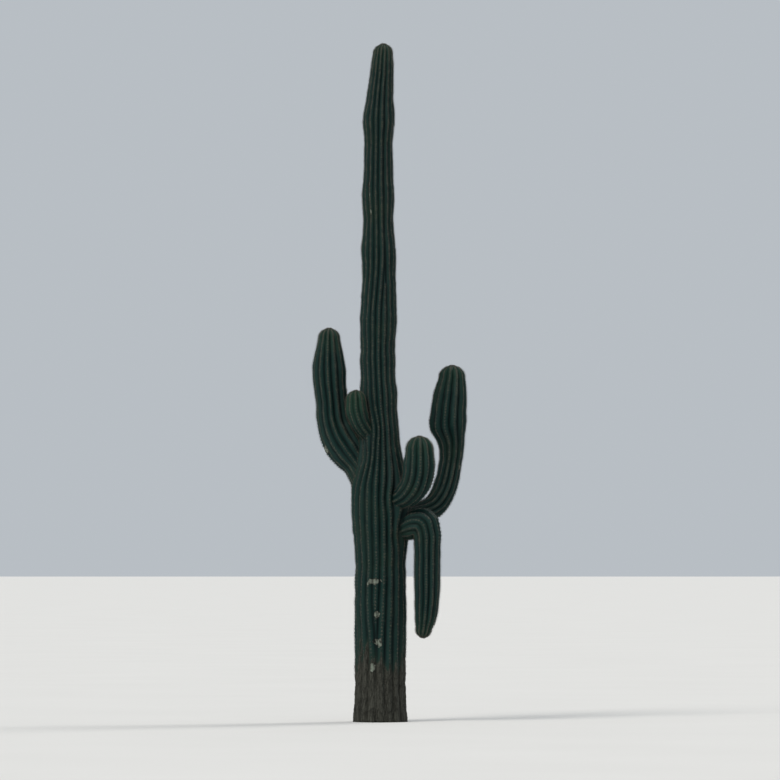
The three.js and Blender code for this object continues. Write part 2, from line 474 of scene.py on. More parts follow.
@dataclass(frozen=True)
class SkinFinish:
    """The waxy green skin, with painted shade deep between its ribs and painted light along their crests,
    with cork at the foot and pale scars.

    Attributes:
        name: the material's name.
        valley: painted shade, the dark colour laid deep between the ribs where shade falls.
        flank: the colour of a rib's sides.
        crest: the colour along a rib's edge, partly the greyer line of its areoles and partly painted light
            where the edge stands out.
        olive: the colour of sunned stretches.
        young: the colour of a growing tip.
        cork: the colour of old bark.
        pale_cork: the colour of its weathered plates, which the cork also takes on the rib crests as painted
            light.
        crack: the colour inside its cracks.
        scar: the colour of healed wounds.
        clouds: how many clouds of colour there are to a metre.
        grains: how many grains, likewise.
        flecks: how many flecks of the green, likewise.
        streaks: how many streaks there are to a metre, along x, y and z.
        wrinkles: how many wrinkles of the green, likewise.
        plates: how many plates of bark, likewise.
        bends: how many bends in the cracks between them, likewise.
        cork_edge: how old the skin is where its cork begins, and where it is whole.
        rim_edge: how deep in a wound its dark rim begins, and where it is whole.
        wound_edge: the same for its pale floor.
        gloss: how much the skin reflects.
        relief: how far a height of 1 stands out.
    """

    name: str = "waxy_skin"
    # painted shade: the darkest green, laid deep between the ribs
    valley: Colour = (0.0012, 0.0070, 0.0072)
    flank: Colour = (0.0045, 0.0215, 0.0185)
    # partly painted light: lighter along the rib's edge, as well as the greyer areole line
    crest: Colour = (0.0135, 0.0390, 0.0310)
    olive: Colour = (0.0130, 0.0290, 0.0185)
    young: Colour = (0.0110, 0.0380, 0.0240)
    cork: Colour = (0.0200, 0.0205, 0.0160)
    pale_cork: Colour = (0.0520, 0.0530, 0.0430)
    crack: Colour = (0.0080, 0.0078, 0.0062)
    scar: Colour = (0.1700, 0.1950, 0.1600)
    clouds: float = 3.0
    grains: float = 60.0
    flecks: float = 300.0
    streaks: Stretch = (34.0, 34.0, 5.0)
    wrinkles: Stretch = (22.0, 22.0, 130.0)
    plates: Stretch = (46.0, 46.0, 7.0)
    bends: Stretch = (14.0, 14.0, 5.0)
    cork_edge: Span = (0.42, 0.62)
    rim_edge: Span = (0.22, 0.34)
    wound_edge: Span = (0.42, 0.5)
    gloss: float = 0.14
    relief: float = 0.005

    def material(self) -> bpy.types.Material:
        """Builds the material from the skin's own fields and from noise in the plant's frame.

        Returns:
            The material.
        """
        graph = Graph(self.name)
        cloud = graph.noise(graph.place(), self.clouds, 3.0)
        grit = graph.noise(graph.place(), self.grains, 5.0, 0.6)
        streak = graph.noise(graph.place(self.streaks), 1.0, 4.0, 0.6)
        green, wrinkle = self._green(graph, cloud, streak)
        bark, plate = self._bark(graph, streak, grit)

        age = graph.attribute("age")
        cork_share = (age + streak.about(0.9) + grit.about(0.5)).rise(*self.cork_edge)
        wound = graph.attribute("scar") + grit.about(0.7)
        scar_share = wound.rise(*self.wound_edge)
        green = graph.mix((age + streak.about(0.7)).rise(0.05, 0.6) * 0.6, green, self.olive)
        colour = graph.mix(cork_share, green, bark)
        colour = graph.mix(wound.rise(*self.rim_edge) * 0.8, colour, self.crack)
        dry = wound * 0.6 + streak.about(0.9) + grit.about(1.6)
        colour = graph.mix(scar_share, colour, graph.mix(dry.rise(0.1, 0.7), self.pale_cork, self.scar))
        height = wrinkle.blend(cork_share, plate).blend(scar_share, grit * 0.3 + streak * 0.5)
        return graph.dress(
            Base_Color=colour,
            Roughness=0.5 + grit * 0.15 + (cork_share + scar_share).rise(0.0, 1.0) * 0.25,
            Specular_IOR_Level=self.gloss,
            Normal=graph.relief(height, self.relief),
        )

    def _green(self, graph: Graph, cloud: Field, streak: Field) -> tuple[Field, Field]:
        """Colours the living skin, with painted shade between the ribs and painted light on their crests.

        Args:
            graph: the material's nodes.
            cloud: broad unevenness.
            streak: unevenness drawn out along the ribs.

        Returns:
            Its colour, and the height of its faint wrinkles.
        """
        fleck = graph.noise(graph.place(), self.flecks, 1.0)
        wrinkle = graph.noise(graph.place(self.wrinkles), 1.0, 3.0)
        lit = graph.attribute("crest") + cloud.about(0.3) + streak.about(0.5)
        # painted shade deep between the ribs, going over to the flank colour towards the crests
        green = graph.mix(lit.rise(0.0, 0.6), self.valley, self.flank)
        # lighter along the crests: partly the greyer areole line, partly painted light on the rib's edge
        green = graph.mix((lit + fleck.about(0.6)).rise(0.7, 1.2), green, self.crest)
        green = graph.mix(cloud.rise(0.48, 0.78) * 0.55, green, self.olive)
        green = graph.mix(graph.attribute("young") * 0.6, green, self.young)
        return green, wrinkle * 0.2 + fleck * 0.06

    def _bark(self, graph: Graph, streak: Field, grit: Field) -> tuple[Field, Field]:
        """Colours the old cork, which has split into long upright plates, paler on the rib crests as painted
        light.

        Args:
            graph: the material's nodes.
            streak: unevenness drawn out along the ribs.
            grit: fine unevenness.

        Returns:
            Its colour, and its height.
        """
        bend = graph.noise(graph.place(self.bends), 1.0, 2.0) * 1.6 + grit * 0.7
        upright = {0: graph.place(self.plates), 1: bend}
        bent = graph.node("ShaderNodeVectorMath", {"operation": "ADD"}, upright)
        edge = {"feature": "DISTANCE_TO_EDGE"}
        split = graph.node("ShaderNodeTexVoronoi", edge, {"Vector": bent, "Scale": 1.0}, "Distance")
        plate = (split + grit.about(0.22) + streak.about(0.3)).rise(-0.02, 0.2)
        # weathering from grit and streaks, plus painted light: paler cork on the rib crests, darker in the
        # valleys between them
        worn = grit * 0.5 + streak * 0.6 + graph.attribute("crest") * 0.25
        crust = graph.mix(worn.rise(0.4, 0.9), self.cork, self.pale_cork)
        return graph.mix(plate * 0.65 + 0.35, self.crack, crust), plate * 0.4 + grit * 0.5


@dataclass(frozen=True)
class PlainFinish:
    """One even finish for things too small to hold a pattern.

    Attributes:
        name: the material's name.
        colour: its colour.
        roughness: its roughness.
        sheen: how much its fibres glow at the edges.
        gloss: how much it reflects.
    """

    name: str
    colour: Colour
    roughness: float = 0.6
    sheen: float = 0.0
    gloss: float = 0.25

    def material(self) -> bpy.types.Material:
        """Builds the material."""
        looks = {"Base_Color": self.colour, "Roughness": self.roughness, "Sheen_Weight": self.sheen}
        return Graph(self.name).dress(**looks, Specular_IOR_Level=self.gloss)


@dataclass(frozen=True)
class FloorFinish:
    """A pale, matt studio floor.

    Attributes:
        name: the material's name.
        pale: its colour.
        paler: the colour of its faint clouds.
        clouds: how many of those there are to a metre.
        roughness: its roughness.
    """

    name: str = "studio_floor"
    pale: Colour = (0.62, 0.61, 0.59)
    paler: Colour = (0.66, 0.65, 0.63)
    clouds: float = 0.4
    roughness: float = 0.9

    def material(self) -> bpy.types.Material:
        """Builds the material.

        Returns:
            The material.
        """
        graph = Graph(self.name)
        colour = graph.mix(graph.noise(graph.place(), self.clouds, 2.0), self.pale, self.paler)
        return graph.dress(Base_Color=colour, Roughness=self.roughness)


class SpineTone(Enum):
    """The colours that spines turn to, from new to old."""

    STRAW = PlainFinish("straw_spine", (0.088, 0.086, 0.064), 0.5)
    GREY = PlainFinish("grey_spine", (0.048, 0.051, 0.045), 0.55)
    CHARRED = PlainFinish("dark_spine", (0.024, 0.022, 0.019), 0.6)


class FeltTone(Enum):
    """The colours of areole felt, from new to old."""

    FRESH = PlainFinish("fresh_felt", (0.062, 0.059, 0.045), 0.95, 0.1)
    WEATHERED = PlainFinish("weathered_felt", (0.030, 0.030, 0.026), 0.95, 0.1)


def deal_tones(age: np.ndarray, tones: int, draw: np.random.Generator, spread: float = 0.45) -> np.ndarray:
    """Deals out a tone to each areole: mostly the first where it is young, and the last where it is old.

    Args:
        age: the areoles' ages, from 0 to 1.
        tones: how many tones there are.
        draw: the source of chance.
        spread: how far chance moves an areole's tone, where 1 is a whole tone.

    Returns:
        The number of each areole's tone.
    """
    drift = age * tones + draw.normal(0.0, spread, len(age))
    return np.clip(drift.astype(int), 0, tones - 1)


# Spines and felt

@dataclass(frozen=True)
class SpineTuft:
    """The spines of one areole: a low star round its edge, and a few stout ones that stand out of it.

    Attributes:
        star: how many lie in the star.
        stout: how many stand out.
        star_length: the shortest and longest spine of the star.
        stout_length: the shortest and longest stout spine.
        star_lean: the least and most that the star leans over from straight out, in radians.
        stout_lean: the same for the stout ones.
        reach: how far out any of them may stand; longer ones lean over more.
        thickness: half a spine's thickness at its root.
        star_root: how far from the areole's middle the star is rooted.
        stout_root: the same for the stout ones.
        star_drift: how far a spine of the star may lie off its even place, as a share of the gap between two.
        stout_drift: how far the stout ones lie off theirs, in radians.
        skew: how far the line that squares the spines' roots leans out; any lean would do.
    """

    star: int = 15
    stout: int = 6
    star_length: Span = (0.011, 0.020)
    stout_length: Span = (0.020, 0.040)
    star_lean: Span = (1.0, 1.35)
    stout_lean: Span = (0.35, 0.95)
    reach: float = 0.0145
    thickness: float = 0.0008
    star_root: float = 0.0026
    stout_root: float = 0.00078
    star_drift: float = 0.3
    stout_drift: float = 0.25
    skew: float = 0.3

    def grow(self, areoles: Areoles, seed: int) -> Shape:
        """Grows a tuft on each areole, each spine a closed three-sided point.

        Args:
            areoles: where the spines grow.
            seed: the draw of their lengths and leans.

        Returns:
            All the spines as one shape.
        """
        draw = np.random.default_rng(seed)
        turn, lean, length, root = self._draw(len(areoles.size), draw)
        size = areoles.size[:, None]
        up, side, out = (v[:, None, :] for v in (areoles.up, areoles.side, areoles.out))
        flat = np.cos(turn)[..., None] * up + np.sin(turn)[..., None] * side
        way = np.cos(lean)[..., None] * out + np.sin(lean)[..., None] * flat
        foot = areoles.place[:, None, :] + flat * (root * size)[..., None]
        across = unit(np.cross(way, flat + self.skew * out))
        beyond = np.cross(way, across)
        thick = (self.thickness * np.sqrt(size))[..., None]
        corners = [
            foot + thick * (math.cos(angle) * across + math.sin(angle) * beyond)
            for angle in (0.0, FULL_TURN / 3, 2 * FULL_TURN / 3)
        ]
        corners.append(foot + way * (length * size)[..., None])
        points = np.stack(corners, axis=2).reshape(-1, 3)
        first = np.arange(0, len(points), 4)[:, None, None]
        faces = (first + np.array([[0, 2, 1], [0, 1, 3], [1, 2, 3], [2, 0, 3]])).reshape(-1, 3)
        tones = deal_tones(areoles.age, len(SpineTone), draw)
        looks = np.repeat(tones, len(faces) // len(tones))
        return Shape(points, faces.tolist(), looks, smooth=False)

    def _draw(self, count: int, draw: np.random.Generator) -> tuple[np.ndarray, ...]:
        """Draws the spines of some areoles.

        Args:
            count: how many areoles there are.
            draw: the source of chance.

        Returns:
            The turn, lean, length and root of each spine, one row to an areole.
        """
        star, stout = (count, self.star), (count, self.stout)
        drift = draw.uniform(-self.star_drift, self.star_drift, star)
        star_turn = FULL_TURN * (np.arange(self.star) + drift) / self.star
        down = np.full((count, 1), math.pi)
        first = draw.uniform(0.0, FULL_TURN, (count, 1))
        others = first + FULL_TURN * np.arange(self.stout - 1) / (self.stout - 1)
        stout_turn = np.hstack([down, others]) + draw.normal(0.0, self.stout_drift, stout)
        lean = np.hstack([draw.uniform(*self.star_lean, star), draw.uniform(*self.stout_lean, stout)])
        length = np.hstack([draw.uniform(*self.star_length, star), draw.uniform(*self.stout_length, stout)])
        root = np.hstack([np.full(star, self.star_root), np.full(stout, self.stout_root)])
        lean = np.maximum(lean, np.arccos(np.minimum(self.reach / length, 1.0)))
        return np.hstack([star_turn, stout_turn]), lean, length, root


@dataclass(frozen=True)
class FeltPad:
    """The oval pad of felt under a tuft of spines.

    Attributes:
        half_length: from its middle to its end along the rib.
        half_width: from its middle to its side.
        thickness: how far it stands out.
        sunk: how far its rim lies under the skin.
        shoulder: how high the edge of its top is.
        shoulder_size: how large its top is, as a share of the pad.
        sides: how many sides its outline has.
    """

    half_length: float = 0.0062
    half_width: float = 0.0046
    thickness: float = 0.0030
    sunk: float = 0.0015
    shoulder: float = 0.0018
    shoulder_size: float = 0.72
    sides: int = 6

    def grow(self, areoles: Areoles, seed: int) -> Shape:
        """Lays a pad on each areole, as a low closed dome.

        Args:
            areoles: where the pads lie.
            seed: the draw of their tones.

        Returns:
            All the pads as one shape.
        """
        angles = FULL_TURN * np.arange(self.sides) / self.sides
        outline = np.stack([np.cos(angles) * self.half_length, np.sin(angles) * self.half_width], axis=1)
        rim = np.insert(outline, 2, -self.sunk, axis=1)
        ring = np.insert(self.shoulder_size * outline, 2, self.shoulder, axis=1)
        pad = np.vstack([rim, ring, [[0.0, 0.0, self.thickness]]])
        axes = np.stack([areoles.up, areoles.side, areoles.out], axis=1) * areoles.size[:, None, None]
        points = areoles.place[:, None, :] + pad @ axes
        faces = self._faces()
        first = len(pad) * np.arange(len(areoles.size))[:, None, None]
        triangles = (first + np.array(faces)).reshape(-1, 3)
        tones = deal_tones(areoles.age, len(FeltTone), np.random.default_rng(seed))
        return Shape(points.reshape(-1, 3), triangles.tolist(), np.repeat(tones, len(faces)))

    def _faces(self) -> list[list[int]]:
        """Lists the triangles of one pad.

        Returns:
            The numbers of each triangle's corners, where the rim's come first, then the ring's, then the top.
        """
        top = 2 * self.sides
        faces = []
        for i in range(self.sides):
            after = (i + 1) % self.sides
            faces.append([i, self.sides + after, after])
            faces.append([i, self.sides + i, self.sides + after])
            faces.append([self.sides + i, top, self.sides + after])
            if 0 < i < self.sides - 1:
                faces.append([0, i, i + 1])
        return faces


# Limbs

@dataclass(frozen=True)
class PartRib:
    """A rib that doesn't run the limb's whole length.

    Attributes:
        number: which rib it is.
        half_grown: the height where it is half grown.
        upwards: whether it starts there and goes on up, or ends there.
    """

    number: int
    half_grown: float
    upwards: bool


@dataclass(frozen=True)
class Collar:
    """The place where an arm leaves the trunk.

    Attributes:
        turn: its direction from the trunk's axis, in radians.
        height: its height.
        width: half the arm's width there.
    """

    turn: float
    height: float
    width: float


@dataclass(frozen=True)
class Scar:
    """A healed wound on the skin.

    Attributes:
        turn: its direction from the limb's axis, in degrees.
        run: its distance along the limb from its foot.
        half_width: from its middle to its side.
        half_length: from its middle to its end.
    """

    turn: float
    run: float
    half_width: float
    half_length: float


@dataclass(frozen=True)
class Healing:
    """How wounds have healed: a sunken floor with a raised rim.

    Attributes:
        reach: where a wound is deepest and where it ends, in half sizes from its middle.
        ragged: what makes its outline uneven.
        between: how deep it is between the ribs, as a share of how deep it is on them.
        rim: how high its rim stands.
        rim_at: how deep in the wound the rim is, where 1 is deepest.
        rim_width: half the rim's width, on the same scale.
        sunk: how far its floor lies below the skin.
        floor_edge: how deep in the wound the floor begins to sink, and where it is down.
    """

    reach: Span = (0.3, 1.45)
    ragged: tuple[Ripples, ...] = (Ripples(4, 0.07, 0.22), Ripples(10, 0.03, 0.16))
    between: float = 0.55
    rim: float = 0.0048
    rim_at: float = 0.3
    rim_width: float = 0.14
    sunk: float = 0.0045
    floor_edge: Span = (0.42, 0.8)

    def relief(self, depth: np.ndarray) -> np.ndarray:
        """Gives how far the skin stands out, from how deep in a wound it is."""
        rim = self.rim * bell((depth - self.rim_at) / self.rim_width)
        return rim - self.sunk * ramp(depth, *self.floor_edge)


@dataclass(frozen=True)
class Planting:
    """Which ribs bear areoles, and how large.

    Attributes:
        full_gap: the distance between two ribs where an areole has its full size.
        least_gap: the distance under which there are none.
        least_size: the smallest size.
        least_grown: how far a rib has to be grown to bear any.
        most_wound: how deep in a wound they still grow.
        tight: how close rings lie in a bend where every fourth areole grows, and where every second does.
        lost_age: the ages between which more and more are lost.
        lost: the share of the oldest that is lost.
        size_spread: the smallest and largest share of its size that chance gives an areole.
        shrunk_age: the ages between which they shrink.
        shrunk: how far the oldest have shrunk.
        worn: how worn they look on grown skin, and how much less on young skin.
    """

    full_gap: float = 0.034
    least_gap: float = 0.0095
    least_size: float = 0.35
    least_grown: float = 0.55
    most_wound: float = 0.3
    tight: Span = (0.3, 0.6)
    lost_age: Span = (0.35, 0.95)
    lost: float = 0.9
    size_spread: Span = (0.85, 1.12)
    shrunk_age: Span = (0.3, 1.0)
    shrunk: float = 0.35
    worn: float = 0.35


@dataclass
class Rows:
    """The rings of a limb's skin, from its foot to the edge of its tip, one row of each array to a ring.

    Attributes:
        middle: the middles of the rings.
        outward: vectors to the first rib's first edge, of length 1 where a ring is square to the limb.
        sideways: unit vectors a quarter turn on from there.
        radius: the radii over the ribs' crests.
        depth: the ribs' depths, as a share of the distance from crest to crest.
        grown: how far each rib is grown, from 0 to 1.
        run: the distances along the limb from its foot.
    """

    middle: np.ndarray
    outward: np.ndarray
    sideways: np.ndarray
    radius: np.ndarray
    depth: np.ndarray
    grown: np.ndarray
    run: np.ndarray

    def ways(self, angle: np.ndarray) -> np.ndarray:
        """Gives the directions from the rings' middles at some angles, one row of them to a ring."""
        ahead, aside = np.cos(angle)[..., None], np.sin(angle)[..., None]
        return ahead * self.outward[:, None] + aside * self.sideways[:, None]

    def room(self, points: np.ndarray) -> np.ndarray:
        """Gives how far apart the rings lie at some points, as a share of how far apart their middles lie."""
        gap = np.linalg.norm(np.gradient(points, axis=0), axis=2)
        return gap / np.gradient(self.run)[:, None]


@dataclass
class Skin:
    """A limb's surface as a grid, with a row to each ring and a column to each line along the limb.

    Attributes:
        points: the grid's corners.
        fields: numbers at the corners, by name: crest is how near a corner is to a rib's edge, age how
            corky it is, scar how deep in a wound, and young how near the tip, all from 0 to 1.
    """

    points: np.ndarray
    fields: dict[str, np.ndarray]


@dataclass(kw_only=True)
class Limb:
    """What the trunk and the arms share: ribs, areoles and a woolly tip.

    Attributes:
        name: the limb's name, which its pieces' names begin with.
        nodes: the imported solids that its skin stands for.
        slot: the material slot of its skin.
        ribs: how many ribs it has.
        seed: its draw of chance.
        samples: how many places it is measured at to space its rings.
        columns: how many lines run along each rib.
        rib_depth: the ribs' depth, as a share of the distance from crest to crest.
        rib_edge: how sharp a rib's edge is, where 1 is a straight-sided ridge and 2 is round.
        thinnest_rib: the width of a rib that hasn't grown, as a share of a full one's.
        knob: how far the skin swells under an areole.
        knob_room: how close rings lie in a bend where there are no swellings, and where they are whole.
        band_gap: the least and most distance between two yearly waists.
        band_width: half the width of the narrowest and of the widest.
        band_pull: how deep the shallowest and the deepest are.
        band_depth: how far a waist of depth 1 pulls in, as a share of the radius.
        lumps: the unevenness of its skin.
        bark: the roughness of its cork.
        bark_stretch: the share of a length that the roughness follows, along x, y and z.
        narrow: the radii between which its relief grows from nothing, so that the tip stays smooth.
        young_length: how far from the tip the skin is young.
        tip_step: the distance between two rings of the rounded tip.
        crown: the radius of the woolly spot at the tip.
        crown_gap: how close its areoles are, as the radius of the first.
        crown_size: their size.
        crown_age: their age.
        crown_rings: how many rings of the tip they may reach down to.
        crown_lean: how far the outermost of them lean out.
        bare_foot: the height under which there are no areoles.
        planting: where the others grow.
        scars: its healed wounds.
        healing: how they have healed.
        strips: how many strips side by side its finish is drawn in.
    """

    name: str
    nodes: tuple[str, ...]
    slot: str
    ribs: int
    seed: int
    samples: int = 1500
    columns: int = 12
    rib_depth: float = 0.42
    rib_edge: float = 1.7
    thinnest_rib: float = 0.12
    knob: float = 0.0016
    knob_room: Span = (0.3, 0.8)
    band_gap: Span = (0.26, 0.46)
    band_width: Span = (0.022, 0.04)
    band_pull: Span = (0.3, 1.0)
    band_depth: float = 0.022
    lumps: tuple[Ripples, ...] = (Ripples(1, 0.16, 0.0022), Ripples(2, 0.045, 0.0010))
    bark: Ripples = Ripples(3, 0.022, 0.0030)
    bark_stretch: Stretch = (1.0, 1.0, 0.35)
    narrow: Span = (0.02, 0.08)
    young_length: float = 0.35
    tip_step: float = 0.010
    crown: float = 0.032
    crown_gap: float = 0.0044
    crown_size: float = 0.75
    crown_age: float = 0.05
    crown_rings: int = 15
    crown_lean: float = 0.8
    bare_foot: float = 0.06
    planting: Planting = Planting()
    scars: tuple[Scar, ...] = ()
    healing: Healing = Healing()
    strips: int = 1

    def rows(self) -> Rows:
        """Lays out the rings of the skin."""
        raise NotImplementedError

    def tip(self) -> np.ndarray:
        """Gives the point of the tip."""
        raise NotImplementedError

    def age(self, points: np.ndarray) -> np.ndarray:
        """Gives how corky the skin is at each corner, from 0 to 1."""
        return np.zeros(points.shape[:2])

    def bend_ribs(self, rows: Rows, angle: np.ndarray) -> np.ndarray:
        """Moves the ribs round the limb, where something makes them part."""
        return angle

    def swell(self, rows: Rows, angle: np.ndarray) -> np.ndarray:
        """Gives how far the skin stands out of its plain shape."""
        return np.zeros_like(angle)

    def bands(self, rows: Rows) -> np.ndarray:
        """Draws the yearly waists.

        Args:
            rows: the rings.

        Returns:
            How far each ring is pulled in, as a share of its radius.
        """
        draw = np.random.default_rng(self.seed)
        pull = np.zeros_like(rows.run)
        at = draw.uniform(*self.band_gap)
        while at < rows.run[-1]:
            depth = draw.uniform(*self.band_pull)
            pull += depth * bell((rows.run - at) / draw.uniform(*self.band_width))
            at += draw.uniform(*self.band_gap)
        return self.band_depth * pull

    def skin(self, rows: Rows) -> Skin:
        """Raises the ribbed surface on the rings.

        Args:
            rows: the rings.

        Returns:
            The surface, with what its finish reads.
        """
        count = len(rows.run)
        across = np.arange(self.columns) / self.columns
        profile = 1.0 - np.abs(2.0 * across - 1.0) ** self.rib_edge
        widths = self.thinnest_rib + (1.0 - self.thinnest_rib) * rows.grown
        whole = widths.sum(axis=1, keepdims=True)
        starts = np.cumsum(widths, axis=1) - widths
        share = (starts[:, :, None] + across * widths[:, :, None]) / whole[:, :, None]
        angle = self.bend_ribs(rows, FULL_TURN * share.reshape(count, -1))
        crest = (profile * rows.grown[:, :, None]).reshape(count, -1)
        valley = (rows.depth * FULL_TURN * rows.radius)[:, None] / whole
        waist = rows.radius * self.bands(rows)
        radius = rows.radius[:, None] - valley * (1.0 - crest) - waist[:, None]

        ways = rows.ways(angle)
        plain = rows.middle[:, None] + radius[..., None] * ways
        young = ramp(rows.run, rows.run[-1] - self.young_length, rows.run[-1])[:, None]
        fields = {
            "crest": crest,
            "age": self.age(plain),
            "scar": self._scars(rows, plain, angle, crest),
            "young": np.repeat(young, crest.shape[1], axis=1),
        }
        radius = radius + self._relief(rows, plain, fields) + self.swell(rows, angle)
        return Skin(rows.middle[:, None] + radius[..., None] * ways, fields)

    def _relief(self, rows: Rows, plain: np.ndarray, fields: dict[str, np.ndarray]) -> np.ndarray:
        """Adds up the swellings under the areoles, the skin's unevenness, its cork and its wounds.

        Args:
            rows: the rings.
            plain: the surface's points without any of these.
            fields: what the surface holds at its corners.

        Returns:
            How far each corner stands out, and less where the limb narrows to its tip.
        """
        step = np.arange(len(rows.run))[:, None] + np.repeat(np.arange(self.ribs), self.columns)
        beat = np.where(step % 2 == 0, 1.0, -1.0) * ramp(rows.room(plain), *self.knob_room)
        knobs = self.knob * beat * fields["crest"] ** 5 * (1.0 - fields["age"])
        bark = fields["age"] * self.bark.at(plain * self.bark_stretch, self.seed)
        relief = knobs + uneven(self.lumps, plain, self.seed) + bark + self.healing.relief(fields["scar"])
        return relief * ramp(rows.radius, *self.narrow)[:, None]

    def _scars(self, rows: Rows, points: np.ndarray, angle: np.ndarray, crest: np.ndarray) -> np.ndarray:
        """Lays out the wounds.

        Args:
            rows: the rings.
            points: the surface's points.
            angle: their directions from the limb's axis.
            crest: how near each is to a rib's edge.

        Returns:
            How deep in a wound each point is, from 0 outside to 1, and less between the ribs.
        """
        near = np.zeros_like(crest)
        healing = self.healing
        ragged = uneven(healing.ragged, points, self.seed, 1.0)
        for scar in self.scars:
            aside = turned_from(angle, math.radians(scar.turn)) * rows.radius[:, None] / scar.half_width
            beyond = (rows.run[:, None] - scar.run) / scar.half_length
            near = np.maximum(near, 1.0 - ramp(np.hypot(aside, beyond) * ragged, *healing.reach))
        return near * (healing.between + (1.0 - healing.between) * crest)

    def shape(self, rows: Rows, skin: Skin) -> Shape:
        """Closes the surface into a mesh, flat at its foot and pointed at its tip.

        Args:
            rows: the rings.
            skin: the surface.

        Returns:
            The mesh in the making.
        """
        count, around = skin.points.shape[:2]
        corner = np.arange(count * around).reshape(count, around)
        after = np.roll(corner, -1, axis=1)
        quads = np.stack([corner[:-1], after[:-1], after[1:], corner[1:]], axis=-1).reshape(-1, 4)
        foot, tip = count * around, count * around + 1
        foot_fan = np.stack([np.full(around, foot), after[0], corner[0]], axis=1)
        tip_fan = np.stack([corner[-1], after[-1], np.full(around, tip)], axis=1)
        points = np.vstack([skin.points.reshape(-1, 3), rows.middle[:1], self.tip()[None]])
        fields = {
            title: np.concatenate([values.ravel(), [values[0].mean(), values[-1].mean()]])
            for title, values in skin.fields.items()
        }
        faces = quads.tolist() + foot_fan.tolist() + tip_fan.tolist()
        return Shape(points, faces, None, fields, self._map(count, around))

    def _map(self, count: int, around: int, filled: float = 0.98, room: float = 0.02) -> np.ndarray:
        """Lays the faces on the unit square: the quads in strips side by side, the fans in thin rows on top.

        Args:
            count: how many rings there are.
            around: how many corners each has.
            filled: the share of its width that a strip fills.
            room: the height that each fan's row has.

        Returns:
            A place for each corner of each face.
        """
        long = math.ceil((count - 1) / self.strips)
        strip, row = np.divmod(np.arange(count - 1), long)
        across = (strip[:, None] + filled * np.arange(around + 1) / around) / self.strips
        left, right = across[:, :-1], across[:, 1:]
        low, high = ((1 - 2 * room) * (row + end)[:, None] / long for end in (0, 1))
        corners = np.broadcast_arrays(left, low, right, low, right, high, left, high)
        quads = np.stack(corners, axis=-1).reshape(-1, 2)
        start = np.arange(around) / around
        fans = []  # a fifth of each one's room stays free over it and under it
        for floor in (1 - 1.8 * room, 1 - 0.8 * room):
            base, point = np.full(around, floor), np.full(around, floor + 0.6 * room)
            fan = [start, base, start + 1.0 / around, base, start + 0.5 / around, point]
            fans.append(np.stack(fan, axis=-1).reshape(-1, 2))
        return np.vstack([quads, *fans])

    def areoles(self, rows: Rows, skin: Skin) -> Areoles:
        """Sets an areole on each rib at every second ring, in step with the swellings of the skin.

        Args:
            rows: the rings.
            skin: the surface.

        Returns:
            The areoles, with those of the woolly tip.
        """
        rule = self.planting
        middle = np.arange(self.ribs) * self.columns + self.columns // 2
        place = skin.points[:, middle]
        age, scar, young = (skin.fields[title][:, middle] for title in ("age", "scar", "young"))
        along = np.gradient(place, axis=0)
        across = (np.roll(skin.points, -1, axis=1) - np.roll(skin.points, 1, axis=1))[:, middle]
        gap = (FULL_TURN * rows.radius / rows.grown.sum(axis=1))[:, None]
        step = np.arange(len(rows.run))[:, None] + np.arange(self.ribs)
        free = (step % 2 == 0) & (rows.grown > rule.least_grown) & (gap > rule.least_gap)
        free &= (scar < rule.most_wound) & (place[..., 2] > self.bare_foot)
        room = rows.room(place)
        free &= (step // 2) % np.select([room < rule.tight[0], room < rule.tight[1]], [4, 2], 1) == 0
        free[0] = False
        draw = np.random.default_rng(self.seed + AREOLE_DRAW)
        free &= draw.uniform(size=free.shape) > rule.lost * ramp(age, *rule.lost_age)
        chance = draw.uniform(*rule.size_spread, free.shape)
        size = np.clip(gap / rule.full_gap, rule.least_size, 1.0) * chance
        size = size * (1.0 - rule.shrunk * ramp(age, *rule.shrunk_age))
        weathered = np.clip(rule.worn + (1.0 - rule.worn) * age - rule.worn * young, 0.0, 1.0)
        parts = (place, unit(np.cross(across, along)), unit(along), size, weathered)
        return Areoles(*(part[free] for part in parts)).with_more(self._crown(rows))

    def _crown(self, rows: Rows) -> Areoles:
        """Packs areoles in a spiral over the tip, which hides where the ribs meet.

        Args:
            rows: the rings.

        Returns:
            The areoles.
        """
        tip = self.tip()
        rise, edge = np.linalg.norm(tip - rows.middle[-1]), rows.radius[-1]
        axis = unit(tip - rows.middle[-1])
        number = np.arange(1, int((self.crown / self.crown_gap) ** 2))
        radius = self.crown_gap * np.sqrt(number)
        turn = (number * GOLDEN_ANGLE)[:, None]
        flat = np.cos(turn) * rows.outward[-1] + np.sin(turn) * rows.sideways[-1]
        near = slice(-1, -1 - self.crown_rings, -1)
        below = (tip - rows.middle[near]) @ axis
        drop = np.interp(radius, np.append(0.0, rows.radius[near]), np.append(0.0, below))
        lean = np.interp(radius, [0.0, edge, self.crown], [0.0, 0.5 * rise / edge, self.crown_lean])
        out = unit(axis + lean[:, None] * flat)
        hair = 1e-6  # gives even an areole that faces along the axis a way up
        up = unit(axis - (out @ axis)[:, None] * out + hair * flat)
        sizes, ages = np.full(len(number), self.crown_size), np.full(len(number), self.crown_age)
        return Areoles(tip + radius[:, None] * flat - drop[:, None] * axis, out, up, sizes, ages)

    def covers(self, points: np.ndarray, slack: float = 0.012) -> np.ndarray:
        """Tells which points lie inside the limb by more than the slack.

        Args:
            points: the points, one to a row.
            slack: the depth under the ribs' crests that still counts as outside.

        Returns:
            True for each point inside.
        """
        rows = self.rows()
        gap = np.linalg.norm(points[:, None] - rows.middle[None], axis=2) - (rows.radius - slack)
        return gap.min(axis=1) < 0.0


